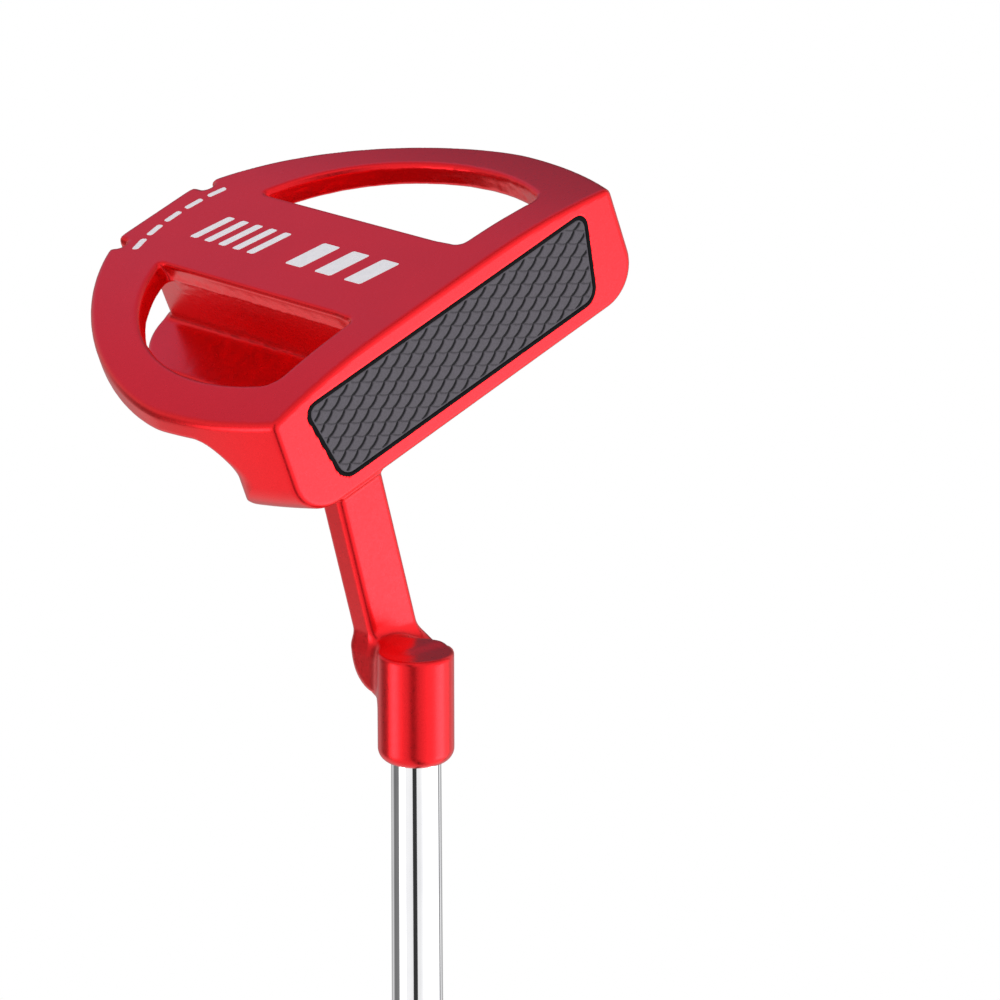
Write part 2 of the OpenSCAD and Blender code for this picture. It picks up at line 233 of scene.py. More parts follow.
def add_mesh(name, points, faces, material):
    """A new smooth object from points in metres."""
    mesh = bpy.data.meshes.new(name)
    mesh.from_pydata([tuple(p) for p in points], [], [tuple(f) for f in faces])
    mesh.validate()
    mesh.shade_smooth()
    return add_object(name, mesh, material)


def add_form(name, form, material):
    """A new object from a bmesh, which is freed."""
    mesh = bpy.data.meshes.new(name)
    form.to_mesh(mesh)
    form.free()
    return add_object(name, mesh, material)


def bridge(first, second):
    """Quads between two closed loops of points, each given by the points' numbers."""
    return np.column_stack([first, np.roll(first, -1), np.roll(second, -1), second]).tolist()


def unit_circle(around):
    """Points round a circle of radius 1."""
    angle = np.arange(around) * 2 * math.pi / around
    return np.column_stack([np.cos(angle), np.sin(angle)])


def stand_for(piece, slot, *nodes):
    """The piece rides on the head and replaces these CAD nodes."""
    bpy.context.view_layer.update()
    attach(piece, "root")
    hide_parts(*nodes)
    return piece


def lathe(name, outline, material, around, closed=False):
    """Turns an outline of (radius, height) pairs, in millimetres, about the vertical axis."""
    ring = unit_circle(around)
    points = np.concatenate([
        np.column_stack([ring * r, np.full(around, h)]) for r, h in outline]) * MM
    faces = []
    rows = len(outline)
    turn = np.arange(around)
    for row in range(rows if closed else rows - 1):
        faces += bridge(row * around + turn, (row + 1) % rows * around + turn)
    piece = add_mesh(name, points, faces, material)
    tidy(piece)
    return piece


def tidy(piece, sharp=40):
    """Merges doubled points, turns every face outwards and keeps hard edges hard."""
    form = bmesh.new()
    form.from_mesh(piece.data)
    bmesh.ops.remove_doubles(form, verts=form.verts, dist=1e-7)
    bmesh.ops.dissolve_degenerate(form, dist=1e-8, edges=form.edges)
    bmesh.ops.recalc_face_normals(form, faces=form.faces)
    form.to_mesh(piece.data)
    form.free()
    piece.data.shade_smooth()
    piece.data.set_sharp_from_angle(angle=math.radians(sharp))


def rounded(radius, low, high, corner, steps=6):
    """Outline of a solid pin from its lower to its upper middle, with round rims."""
    angles = [math.pi / 2 * k / steps for k in range(steps + 1)]
    middle = radius - corner
    lower = [(middle + corner * math.sin(a), low + corner - corner * math.cos(a)) for a in angles]
    upper = [(middle + corner * math.cos(a), high - corner + corner * math.sin(a)) for a in angles]
    return [(0.0, low), *lower, *upper, (0.0, high)]


# ---------- distance fields ----------

def round_max(a, b, r):
    """Overlap of two fields, with its edge rounded to a radius."""
    return np.minimum(-r, np.maximum(a, b)) + np.hypot(np.maximum(r + a, 0), np.maximum(r + b, 0))


def round_min(a, b, r):
    """Union of two fields, with its inner corner filled to a radius."""
    return np.maximum(r, np.minimum(a, b)) - np.hypot(np.maximum(r - a, 0), np.maximum(r - b, 0))


def smooth_step(low, high, v):
    """0 below low, 1 above high and smooth between."""
    t = np.clip((v - low) / (high - low), 0, 1)
    return t * t * (3 - 2 * t)


NOISE = np.random.default_rng(7).random((32, 32, 32))


def grain(x, y, z, size):
    """Smooth seeded noise from -1 to 1, with lumps of about the size given."""
    p = [np.asarray(c) / size for c in (x, y, z)]
    base = [np.floor(c).astype(int) for c in p]
    part = [smooth_step(0, 1, c - b) for c, b in zip(p, base)]
    total = 0
    for i in (0, 1):
        for j in (0, 1):
            for k in (0, 1):
                weight = 1
                for f, bit in zip(part, (i, j, k)):
                    weight = weight * (f if bit else 1 - f)
                total = total + weight * NOISE[
                    (base[0] + i) % 32, (base[1] + j) % 32, (base[2] + k) % 32]
    return 2 * total - 1


def net_points(value):
    """One point in each cell that the surface crosses, and the cells' numbers."""
    cells = tuple(n - 1 for n in value.shape)
    total = np.zeros(cells + (3,))
    crossings = np.zeros(cells)
    corners = [(i, j, k) for i in (0, 1) for j in (0, 1) for k in (0, 1)]

    def corner(c):
        return value[c[0]:c[0] + cells[0], c[1]:c[1] + cells[1], c[2]:c[2] + cells[2]]

    for a in corners:
        for axis in range(3):
            if a[axis] == 0:
                b = tuple(1 if i == axis else a[i] for i in range(3))
                va, vb = corner(a), corner(b)
                cut = (va < 0) != (vb < 0)
                t = np.where(cut, va / np.where(cut, va - vb, 1), 0)
                for i in range(3):
                    total[..., i] += np.where(cut, a[i] + (t if i == axis else 0), 0)
                crossings += cut
    active = crossings > 0
    number = np.full(cells, -1)
    number[active] = np.arange(active.sum())
    return np.argwhere(active) + total[active] / crossings[active][:, None], number


def net_faces(value, number):
    """One quad round each grid edge that the surface crosses, turned outwards."""
    count = value.shape
    faces = []
    for axis in range(3):
        others = [i for i in range(3) if i != axis]
        near = [slice(None)] * 3
        far = [slice(None)] * 3
        near[axis] = slice(0, -1)
        far[axis] = slice(1, None)
        va, vb = value[tuple(near)], value[tuple(far)]
        cut = (va < 0) != (vb < 0)
        at = np.argwhere(cut)
        out = va[cut] < 0
        keep = np.ones(len(at), bool)
        for i in others:
            keep &= (at[:, i] > 0) & (at[:, i] < count[i] - 1)
        at, out = at[keep], out[keep]
        quad = []
        for di, dj in ((0, 0), (1, 0), (1, 1), (0, 1)):
            cell = at.copy()
            cell[:, others[0]] -= di
            cell[:, others[1]] -= dj
            quad.append(number[tuple(cell.T)])
        quad = np.stack(quad, axis=1)
        if axis == 1:
            out = ~out
        faces.append(np.where(out[:, None], quad, quad[:, ::-1]))
    return np.concatenate(faces)


def surface_net(field, low, high, step):
    """A smooth mesh of field = 0: points, faces and the field's own normals."""
    low = np.array(low, float)
    step = np.array(step, float)
    count = np.ceil((np.array(high) - low) / step).astype(int) + 1
    axes = [low[i] + step[i] * np.arange(count[i]) for i in range(3)]
    value = field(*np.meshgrid(*axes, indexing="ij"))
    points, number = net_points(value)
    points = low + points * step
    faces = net_faces(value, number)
    longest_move = 0.5 * step.min()

    def slope(p, h):
        parts = []
        for i in range(3):
            d = np.zeros(3)
            d[i] = h
            parts.append((field(*(p + d).T) - field(*(p - d).T)) / (2 * h))
        return np.stack(parts, axis=1)

    for _ in range(4):
        g = slope(points, 0.1)
        size = np.maximum((g ** 2).sum(1), 0.1)
        move = -(field(*points.T) / size)[:, None] * g
        length = np.linalg.norm(move, axis=1, keepdims=True)
        points = points + move * np.minimum(1, longest_move / np.maximum(length, 1e-9))
    normals = slope(points, 0.12)
    normals /= np.maximum(np.linalg.norm(normals, axis=1, keepdims=True), 1e-9)
    return points, faces, normals


def add_net(name, net, material):
    """The object of a surface net drawn in millimetres from the leading edge back."""
    points, faces, normals = net
    points = (points + [0, FACE_Y, 0]) * MM
    mesh = bpy.data.meshes.new(name)
    mesh.from_pydata(points.tolist(), [], faces.tolist())
    mesh.shade_smooth()
    mesh.normals_split_custom_set_from_vertices(normals.tolist())
    return add_object(name, mesh, material)


# ---------- head ----------

def half_width(y):
    """Half the width of the head at a distance y behind the leading edge."""
    front = HEAD_HALF - (HEAD_HALF - FACE_HALF) * ((WIDEST_Y - y) / WIDEST_Y) ** 2
    share = np.clip((y - WIDEST_Y) / (HEAD_DEPTH - WIDEST_Y), 0, 1)
    rear = HEAD_HALF * (1 - share ** OUTLINE_POWER) ** (1 / OUTLINE_POWER)
    return np.where(y < WIDEST_Y, front, rear)


def outline_map():
    """Distance to the head's sides and rear on a fine grid; the sides run on past the face."""
    a = np.linspace(0, math.pi / 2, 150)
    power = 2 / OUTLINE_POWER
    rear = np.column_stack([HEAD_HALF * np.cos(a) ** power,
                            WIDEST_Y + (HEAD_DEPTH - WIDEST_Y) * np.sin(a) ** power])
    y = np.linspace(-6, WIDEST_Y, 40)[:-1]
    line = np.concatenate([np.column_stack([half_width(y), y]), rear])
    gx, gy = np.meshgrid(OUTLINE_X, OUTLINE_Y, indexing="ij")
    q = np.stack([gx.ravel(), gy.ravel()], axis=1)
    best = np.full(len(q), 1e9)
    for start, end in zip(line[:-1], line[1:]):
        d = end - start
        t = np.clip((q - start) @ d / (d @ d), 0, 1)
        best = np.minimum(best, ((q - start - t[:, None] * d) ** 2).sum(1))
    inside = (q[:, 0] < half_width(q[:, 1])) & (q[:, 1] < HEAD_DEPTH)
    return (np.sqrt(best) * np.where(inside, -1, 1)).reshape(gx.shape)


OUTLINE_STEP = 0.4
OUTLINE_X = np.arange(0, 53.2, OUTLINE_STEP)
OUTLINE_Y = np.arange(-3, 95.2, OUTLINE_STEP)
OUTLINE = outline_map()


def side_distance(ax, y):
    """Distance outside the head's sides and rear, read from the grid."""
    i = np.clip(ax / OUTLINE_STEP, 0, len(OUTLINE_X) - 1.001)
    j = np.clip((y - OUTLINE_Y[0]) / OUTLINE_STEP, 0, len(OUTLINE_Y) - 1.001)
    a, b = i.astype(int), j.astype(int)
    u, v = i - a, j - b
    return ((OUTLINE[a, b] * (1 - v) + OUTLINE[a, b + 1] * v) * (1 - u)
            + (OUTLINE[a + 1, b] * (1 - v) + OUTLINE[a + 1, b + 1] * v) * u)


def sole_z(ax):
    """Height of the curved sole."""
    run = np.clip(ax - BAR_HALF, 0, CAMBER_R * 0.9)
    return CAMBER_R - np.sqrt(CAMBER_R ** 2 - run ** 2)


def insert_distance(ax, z):
    """Distance outside the insert's outline on the face."""
    slope = INSERT_LOW_HALF - INSERT_TOP_HALF
    height = INSERT_TOP - INSERT_LOW
    side = ((ax - INSERT_LOW_HALF) * height + (z - INSERT_LOW) * slope) / math.hypot(height, slope)
    r = INSERT_CORNER
    return round_max(round_max(side, INSERT_LOW - z, r), z - INSERT_TOP, r)


def ellipse_distance(ax, y):
    """Distance outside the ellipse that bounds both openings, close enough near its edge."""
    px = ax / OPENING_HALF
    py = (y - WIDEST_Y) / OPENING_REACH
    reach = np.hypot(px, py)
    pull = np.hypot(px / OPENING_HALF, py / OPENING_REACH)
    return reach * (reach - 1) / np.maximum(pull, 1e-6)


def plate_distance(ax, y):
    """Distance outside the sighting plate's outline, seen from above."""
    behind = np.maximum(y - DISC_Y["rear"], 0)
    return np.where(behind > 0, np.hypot(ax, behind), ax) - PLATE_HALF


def head_field(x, y, z):
    """The whole casting: ring, bar, block, rib and plate, with round edges and fillets."""
    ax = np.abs(x)

    # The sole plate: a ring and a bar round two openings, with a notched lobe at the rear.
    ellipse = ellipse_distance(ax, y)
    ring_top = z - sole_z(ax) - SOLE_PLATE
    window = round_max(ellipse, BAR_HALF - ax, WINDOW_CORNER)
    window = round_max(window, WINDOW_FRONT - y, WINDOW_EDGE)
    ring = round_max(ring_top, -window, RING_EDGE)
    notch_x = np.abs(ax - LOBE_HALF - NOTCH_WIDTH / 2)
    notch_y = np.maximum(HEAD_DEPTH - NOTCH_DEPTH - y, 0)
    ring = round_max(ring, NOTCH_WIDTH / 2 - np.hypot(notch_x, notch_y), NOTCH_EDGE)
    lobe = np.maximum(HEAD_DEPTH - LOBE_BACK - y, ax - LOBE_HALF - NOTCH_WIDTH / 2)
    ring = round_max(ring, -lobe, RING_EDGE)

    # The block behind the face, deeper at its ends, and the sighting plate.
    lean = (BLOCK_DEPTH - OPENING_FRONT) / (PLATE_LOW - SOLE_PLATE)
    at_end = smooth_step(37.5, 41.5, ax)
    wall_y = OPENING_FRONT + lean * np.clip(z - SOLE_PLATE, 0, 20)
    wall_y = wall_y + at_end * (END_DEPTH - wall_y)
    block = (y - wall_y) / math.hypot(1, lean)
    plate = round_max(plate_distance(ax, y), PLATE_LOW - z, PLATE_EDGE)
    upper = round_min(block, plate, PLATE_EDGE)

    # The rib between the bar and the sighting plate.
    share = (z - SOLE_PLATE) / (PLATE_LOW - SOLE_PLATE)
    rib_half = RIB_BASE + (RIB_TOP - RIB_BASE) * share
    rib_rear = RIB_REAR_LOW + (RIB_REAR_TOP - RIB_REAR_LOW) * share
    # The factors turn level distances into distances square to the rib's sloping faces.
    rib = round_max((ax - rib_half) * 0.921, (y - rib_rear) * 0.833, RIB_EDGE)
    upper = round_min(upper, rib, RIB_FILLET)

    # The deck, sunk under the discs.
    deck = z - DECK
    for disc_y in DISC_Y.values():
        inside = DISC_R + DISC_RING - np.hypot(x, y - disc_y)
        deck = deck + DISC_SINK * smooth_step(0.05, 0.5, inside)
    on_plate = smooth_step(1.0, -1.0, ax - PLATE_HALF) * smooth_step(12, 16, y)
    at_rear = smooth_step(6, 12, y) * smooth_step(27, 35, ax)
    upper = round_max(upper, deck, DECK_EDGE - 0.5 * on_plate + 2.7 * at_rear)

    outside = smooth_step(OPENING_HALF - 1.5, OPENING_HALF + 3, ax)
    fillet = 0.7 + 1.3 * smooth_step(17, 13, y) + 3.6 * outside
    body = round_min(ring, upper, fillet)

    # The sides, rounder at the shoulders of the block, then the sole and the face.
    side = side_distance(ax, y)
    shoulder = smooth_step(7, 17, z) * smooth_step(34, 24, y)
    body = round_max(side, body, SIDE_EDGE + (SHOULDER - SIDE_EDGE) * shoulder)
    body = round_max(body, sole_z(ax) - z, SOLE_EDGE)
    recess = INSERT_SINK * smooth_step(0.05, 0.55, -insert_distance(ax, z))
    body = round_max(body, recess - y, FACE_EDGE)

    # The cast walls inside the openings are rough.
    cast = smooth_step(1.6, 2.6, z) * smooth_step(22.6, 21.4, z)
    cast = cast * smooth_step(0.9, 0.3, ellipse) * smooth_step(9.0, 10.0, y)
    rough = 0.055 * grain(x, y, z * 1.6, 1.5) + 0.05 * grain(x, y, z, 3.1)
    return body + cast * rough


def neck_field(x, y, z):
    """Post, crank arm and socket in one, with fillets where they meet."""
    px = x - MOUTH[0]
    v = y - MOUTH[1]
    pz = z - MOUTH[2]
    u = px * SHAFT_U[0] + pz * SHAFT_U[2]
    w = px * SHAFT_W[0] + pz * SHAFT_W[2]
    socket = np.hypot(u, v) - SOCKET_R
    socket = round_max(socket, w, SOCKET_TOP_EDGE)
    socket = round_max(socket, -SOCKET_LENGTH - w, SOCKET_LOW_EDGE)

    reach = SHAFT_LEAD + POST_Y + POST_DEPTH
    arm = round_max(v - reach, w + ARM_DROP, ARM_CORNER)
    arm = round_max(arm, -ARM_DROP - ARM_THICK - w, ARM_LOW_EDGE)
    arm = round_max(arm, u - ARM_WIDTH + ARM_TOE, ARM_EDGE)
    arm = round_max(arm, -ARM_TOE - u, ARM_EDGE)
    arm = round_max(arm, ARM_FRONT - v, 1.0)

    side = (x - POST_X - POST_WIDTH / 2 - (z - DECK) * math.tan(POST_LEAN)) * math.cos(POST_LEAN)
    beside = np.abs(side) - POST_WIDTH / 2
    post = round_max(beside, np.abs(y - POST_Y - POST_DEPTH / 2) - POST_DEPTH / 2, POST_EDGE)
    post = np.maximum(post, z - DECK - POST_HEIGHT)

    body = round_min(arm, socket, SOCKET_FILLET)
    body = round_min(body, post, POST_FILLET)
    body = round_min(body, z - DECK, FOOT_FILLET)
    body = np.maximum(body, DECK - 0.25 - z)
    foot = np.maximum(beside, y - POST_Y - POST_DEPTH) - FOOT_REACH
    foot = np.maximum(foot, POST_Y - FOOT_FRONT - y)
    body = np.where(z < DECK + 2, np.maximum(body, foot), body)
    bore = np.maximum(np.hypot(u, v) - TIP_R - 0.15, -SOCKET_BORE - w)
    return np.maximum(body, -bore)


# ---------- materials ----------

def new_material(name):
    """A material with its nodes, its links and its one surface shader."""
    material = bpy.data.materials.new(name)
    material.use_nodes = True
    tree = material.node_tree
    return material, tree, tree.nodes["Principled BSDF"]


def noise_node(tree, scale, detail=3.0, roughness=0.6):
    """Noise in object coordinates; scale is lumps per metre."""
    place = tree.nodes.new("ShaderNodeTexCoord").outputs["Object"]
    noise = tree.nodes.new("ShaderNodeTexNoise")
    noise.inputs["Scale"].default_value = scale
    noise.inputs["Detail"].default_value = detail
    noise.inputs["Roughness"].default_value = roughness
    tree.links.new(place, noise.inputs["Vector"])
    return noise.outputs["Fac"]


def colour_range(tree, factor, first, second, low=0.35, high=0.65):
    """Blends two colours by a factor between two limits."""
    ramp = tree.nodes.new("ShaderNodeValToRGB")
    ramp.color_ramp.elements[0].position = low
    ramp.color_ramp.elements[0].color = (*first, 1)
    ramp.color_ramp.elements[1].position = high
    ramp.color_ramp.elements[1].color = (*second, 1)
    tree.links.new(factor, ramp.inputs["Fac"])
    return ramp.outputs["Color"]


def map_range(tree, value, span, result=(0.0, 1.0), smooth=False):
    """Turns a value within a span into a result within another."""
    node = tree.nodes.new("ShaderNodeMapRange")
    if smooth:
        node.interpolation_type = "SMOOTHSTEP"
    names = ("From Min", "From Max", "To Min", "To Max")
    for name, number in zip(names, (*span, *result)):
        node.inputs[name].default_value = number
    tree.links.new(value, node.inputs["Value"])
    return node.outputs["Result"]


def number_range(tree, factor, low, high):
    """Turns noise into a number from low to high."""
    return map_range(tree, factor, (0.3, 0.7), (low, high))


def bump(tree, shader, factor, distance):
    """Raises the surface by a factor, by up to a distance in metres."""
    node = tree.nodes.new("ShaderNodeBump")
    node.inputs["Strength"].default_value = 1.0
    node.inputs["Distance"].default_value = distance
    tree.links.new(factor, node.inputs["Height"])
    tree.links.new(node.outputs["Normal"], shader.inputs["Normal"])


def colour_mix(tree, factor, first, second, blend="MIX"):
    """Mixes two colours, each a socket or a constant."""
    mix = tree.nodes.new("ShaderNodeMix")
    mix.data_type = "RGBA"
    mix.blend_type = blend
    for name, value in (("Factor", factor), ("A", first), ("B", second)):
        if isinstance(value, bpy.types.NodeSocket):
            tree.links.new(value, mix.inputs[name])
        else:
            mix.inputs[name].default_value = value
    return mix.outputs["Result"]


def plain_material(name, dark, light, rough, size, height=0.0, metal=0.0, coat=0.0, gloss=0.5):
    """A finish that varies between two colours, with grain of a size in metres."""
    material, tree, shader = new_material(name)
    broad = noise_node(tree, 0.25 / size)
    fine = noise_node(tree, 1 / size)
    tree.links.new(colour_range(tree, broad, dark, light), shader.inputs["Base Color"])
    tree.links.new(number_range(tree, fine, rough[0], rough[1]), shader.inputs["Roughness"])
    shader.inputs["Metallic"].default_value = metal
    shader.inputs["Specular IOR Level"].default_value = gloss
    shader.inputs["Coat Weight"].default_value = coat
    shader.inputs["Coat Roughness"].default_value = 0.15
    if height:
        bump(tree, shader, fine, height)
    return material


def red_material():
    """Satin red metal paint with fine flakes and a soft clear coat."""
    material, tree, shader = new_material("red_head")
    flakes = noise_node(tree, 5200, 2.0, 0.7)
    clouds = noise_node(tree, 45, 3.0)
    skin = noise_node(tree, 1500, 3.0, 0.55)
    deep = colour_range(tree, flakes, (0.78, 0.005, 0.01), (0.92, 0.012, 0.019), 0.3, 0.7)
    shade = colour_range(tree, clouds, (0.93, 0.9, 0.95), (1.0, 1.0, 1.0), 0.3, 0.7)
    tree.links.new(colour_mix(tree, 1.0, deep, shade, "MULTIPLY"), shader.inputs["Base Color"])
    tree.links.new(number_range(tree, skin, 0.27, 0.35), shader.inputs["Roughness"])
    shader.inputs["Metallic"].default_value = 0.92
    shader.inputs["Coat Weight"].default_value = 0.18
    shader.inputs["Coat Roughness"].default_value = 0.32
    bump(tree, shader, skin, 0.000006)
    return material


def insert_material():
    """Dark grey rubber, with painted shade: near black at the bottom of the grooves between the
    scales.
    """
    material, tree, shader = new_material("insert_rubber")
    place = tree.nodes.new("ShaderNodeTexCoord").outputs["Object"]
    split = tree.nodes.new("ShaderNodeSeparateXYZ")
    tree.links.new(place, split.inputs["Vector"])
    # Painted shade: the colour goes from the rubber's grey to near black with depth into the
    # grooves, and a little at the sunk rim.
    span = [(FACE_Y + SCALE_DEPTH * share) * MM for share in (0.15, 0.8)]
    depth = map_range(tree, split.outputs["Y"], span, smooth=True)
    speckle = noise_node(tree, 2600, 3.0, 0.7)
    top = colour_range(tree, speckle, (0.058, 0.05, 0.062), (0.09, 0.08, 0.098))
    colour = colour_mix(tree, depth, top, (0.004, 0.004, 0.006, 1))
    tree.links.new(colour, shader.inputs["Base Color"])
    tree.links.new(number_range(tree, speckle, 0.5, 0.68), shader.inputs["Roughness"])
    shader.inputs["Specular IOR Level"].default_value = 0.3
    bump(tree, shader, speckle, 0.00002)
    return material


red = red_material()
rubber = insert_material()
gasket_black = plain_material("gasket_black", (0.0015, 0.0015, 0.002), (0.004, 0.004, 0.005),
                              (0.5, 0.65), 0.0006, 0.00001, gloss=0.05)
bond_film = plain_material("bond_film", (0.42, 0.42, 0.4), (0.55, 0.55, 0.52), (0.5, 0.7), 0.001,
                           0.00001)
disc_white = plain_material("disc_white", (0.84, 0.84, 0.85), (0.9, 0.9, 0.9), (0.3, 0.4), 0.0009,
                            0.000006, coat=0.2)
ring_black = plain_material("ring_black", (0.004, 0.004, 0.004), (0.012, 0.012, 0.012),
                            (0.25, 0.4), 0.0005, 0.000006)
white_paint = plain_material("white_paint", (0.9, 0.92, 0.9), (0.96, 0.97, 0.95), (0.35, 0.5),
                             0.0005, 0.00001)
epoxy = plain_material("epoxy", (0.03, 0.03, 0.035), (0.08, 0.08, 0.09), (0.2, 0.35), 0.0006,
                       0.00001)
chrome = plain_material("shaft_chrome", (0.86, 0.86, 0.88), (0.93, 0.93, 0.94), (0.03, 0.06),
                        0.004, metal=1.0)
tape = plain_material("grip_tape", (0.62, 0.55, 0.38), (0.78, 0.7, 0.52), (0.7, 0.85), 0.0007,
                      0.00003)
foam = plain_material("core_foam", (0.14, 0.14, 0.14), (0.24, 0.24, 0.24), (0.75, 0.9), 0.0008,
                      0.00004)
sleeve_black = plain_material("sleeve_black", (0.008, 0.008, 0.01), (0.018, 0.018, 0.022),
                              (0.42, 0.6), 0.0007, 0.00004)
sleeve_red = plain_material("sleeve_red", (0.8, 0.008, 0.05), (0.95, 0.014, 0.07), (0.42, 0.6),
                            0.0007, 0.00004)
thread = plain_material("seam_thread", (0.7, 0.7, 0.72), (0.88, 0.88, 0.88), (0.5, 0.7), 0.0004,
                        0.00003)

# ---------- head and neck ----------

head = add_net("head_casting", surface_net(head_field, *HEAD_NET), red)
stand_for(head, "red_head", "head_body")

neck = add_net("crank_neck", surface_net(neck_field, *NECK_NET), red)
stand_for(neck, "red_head", "neck")


# ---------- face insert ----------

def insert_half(z, margin):
    """Half the width of the insert at a height, inside a margin."""
    low = np.zeros_like(z)
    high = np.full_like(z, INSERT_LOW_HALF + 1)
    for _ in range(30):
        middle = (low + high) / 2
        inside = insert_distance(middle, z) < -margin
        low = np.where(inside, middle, low)
        high = np.where(inside, high, middle)
    return low


def scale_groove(x, z):
    """Depth, 0 to 1, of the grooves that draw staggered fish scales on the insert."""
    depth = np.zeros_like(x)
    for near in range(3):
        row = np.floor(z / SCALE_ROW) + near
        shift = np.where(row % 2 == 0, 0.0, SCALE_WIDE / 2)
        u = (x + shift) / SCALE_WIDE
        u = (u - np.floor(u)) * 2 - 1
        # Each scale is an arc whose crown points to the deck. Its toe half is cut deeper.
        arc = row * SCALE_ROW - SCALE_ROW * np.abs(u) ** SCALE_POWER
        slope = SCALE_POWER * SCALE_ROW * np.abs(u) ** (SCALE_POWER - 1) / (SCALE_WIDE / 2)
        off = np.abs(z - arc) / np.hypot(1, slope)
        deep = smooth_step(0.12, -0.04, u) * smooth_step(-1.0, -0.8, u)
        half = 0.12 + 0.15 * deep
        depth = np.maximum(depth, (0.5 + 0.5 * deep) * smooth_step(half + 0.07, half - 0.07, off))
    return depth


def build_insert():
    """The insert's scaled front as a fine sheet with a skirt back to the film."""
    margin = GASKET * 0.9
    wide, tall = 560, 150
    z = np.linspace(INSERT_LOW + margin + 0.001, INSERT_TOP - margin - 0.001, tall)
    half = insert_half(z, margin)
    s = np.linspace(-1, 1, wide)
    x = s[None, :] * half[:, None]
    zz = np.repeat(z[:, None], wide, axis=1)
    rim = -insert_distance(np.abs(x), zz) - margin
    fade = smooth_step(0.15, 0.7, rim)
    y = SCALE_DEPTH * scale_groove(x, zz) * fade + 0.12 * smooth_step(0.35, 0.0, rim)
    y = y + 0.0025 * grain(x, zz, zz * 0, 0.6)
    front = np.stack([x, y + FACE_Y, zz], axis=2).reshape(-1, 3)
    index = np.arange(wide * tall).reshape(tall, wide)
    quads = (index[:-1, :-1], index[:-1, 1:], index[1:, 1:], index[1:, :-1])
    faces = np.column_stack([quad.ravel() for quad in quads]).tolist()
    loop = np.concatenate([index[0, :], index[1:, -1], index[-1, -2::-1], index[-2:0:-1, 0]])
    back = front[loop].copy()
    back[:, 1] = FACE_Y + 0.42
    ring = len(front) + np.arange(len(loop))
    faces += bridge(ring, loop)
    faces.append(ring.tolist())
    return add_mesh("insert_scales", np.concatenate([front, back]) * MM, faces, rubber)


stand_for(build_insert(), "insert_rubber", "face_insert")


def build_gasket():
    """The thin rubber frame round the insert, a little sunk, with a rounded lip."""
    inner = GASKET + 0.12
    lip = [(-0.04, 0.0), (0.0, -0.02), (GASKET - 0.2, -0.02), (GASKET, 0.03), (inner, 0.12),
           (inner, 0.44), (-0.04, 0.44)]
    count = 360
    loops = []
    for inset, depth in lip:
        z = INSERT_LOW + inset + (INSERT_TOP - INSERT_LOW - 2 * inset) * (
            1 - np.cos(np.linspace(0, math.pi, count // 2))) / 2
        z = np.clip(z, INSERT_LOW + inset + 1e-4, INSERT_TOP - inset - 1e-4)
        half = insert_half(z, inset)
        right = np.column_stack([half, np.full_like(z, depth), z])
        left = right[::-1] * [-1, 1, 1]
        loops.append(np.concatenate([right, left]))
    points = np.concatenate(loops) + [0, FACE_Y, 0]
    rings = np.arange(len(points)).reshape(len(lip), -1)
    faces = []
    for ring, following in zip(rings, np.roll(rings, -1, axis=0)):
        faces += bridge(following, ring)
    piece = add_mesh("insert_gasket_lip", points * MM, faces, gasket_black)
    tidy(piece, 50)
    return piece


stand_for(build_gasket(), "gasket_black", "insert_gasket")


# ---------- sighting discs ----------

def build_disc(side_name, disc_y):
    """A white disc with a round rim, and the thin grooved ring round it."""
    place = (0, (FACE_Y + disc_y) * MM, 0)
    outline = rounded(DISC_R, DECK - 0.5, DECK + 0.02, 0.12)
    disc = lathe(side_name + "_sight_disc", outline, disc_white, 160)
    disc.location = place
    stand_for(disc, "disc_white", side_name + "_disc")
    inner, outer = DISC_R - 0.02, DISC_R + DISC_RING
    groove = [(inner, -0.5), (inner, -0.16), (DISC_R + 0.15, -0.2), (DISC_R + 0.3, -0.16),
              (outer - 0.02, 0.01), (outer + 0.08, 0.02), (outer + 0.1, -0.5)]
    outline = [(r, DECK + rise) for r, rise in groove]
    ring = lathe(side_name + "_sight_ring", outline, ring_black, 160, closed=True)
    ring.location = place
    stand_for(ring, "ring_black", side_name + "_disc_ring")


for side_name, disc_y in DISC_Y.items():
    build_disc(side_name, disc_y)


# ---------- painted marks on the sole ----------

def mark_plates():
    """The slanted dashes on the bar and the curved row on the lobe, as thin plates of paint."""
    form = bmesh.new()

    def add_plate(corners, cut=0.35):
        outline = []
        for k, corner in enumerate(corners):
            here = Vector(corner)
            for other in (corners[k - 1], corners[(k + 1) % len(corners)]):
                outline.append(here + (Vector(other) - here).normalized() * cut)
        low, high = [[form.verts.new((p.x * MM, (FACE_Y + p.y) * MM, z * MM)) for p in outline]
                     for z in (PAINT_LOW, PAINT_HIGH)]
        form.faces.new(low[::-1])
        form.faces.new(high)
        for k in range(len(outline)):
            n = (k + 1) % len(outline)
            form.faces.new((low[k], low[n], high[n], high[k]))

    for first, spacing, number, width in BAR_DASHES:
        for k in range(number):
            y = first + spacing * k
            far = y + DASH_SLANT
            add_plate([(-DASH_HALF, y), (DASH_HALF, far), (DASH_HALF, far + width),
                       (-DASH_HALF, y + width)])
    centre = Vector((0, DISC_Y["rear"] - 20))
    half, near, far = LOBE_DASH
    for k in range(-2, 3):
        turn = Matrix.Rotation(-LOBE_DASH_TURN * k, 2)
        add_plate([centre + turn @ Vector(corner) for corner in (
            (-half, near), (half, near), (half, far), (-half, far))])
    bmesh.ops.recalc_face_normals(form, faces=form.faces)
    piece = add_form("sole_dashes", form, white_paint)
    bevel = piece.modifiers.new("soft_edge", "BEVEL")
    bevel.width = 0.02 * MM
    bevel.segments = 2
    return piece


stand_for(mark_plates(), "white_paint", "sole_paint_marks")


# ---------- shaft ----------

def shaft_r(s):
    """The shaft's outer radius at a height above the socket's mouth."""
    return TIP_R + (BUTT_R - TIP_R) * (s + SOCKET_BORE) / (SHAFT_TOP_S + SOCKET_BORE)


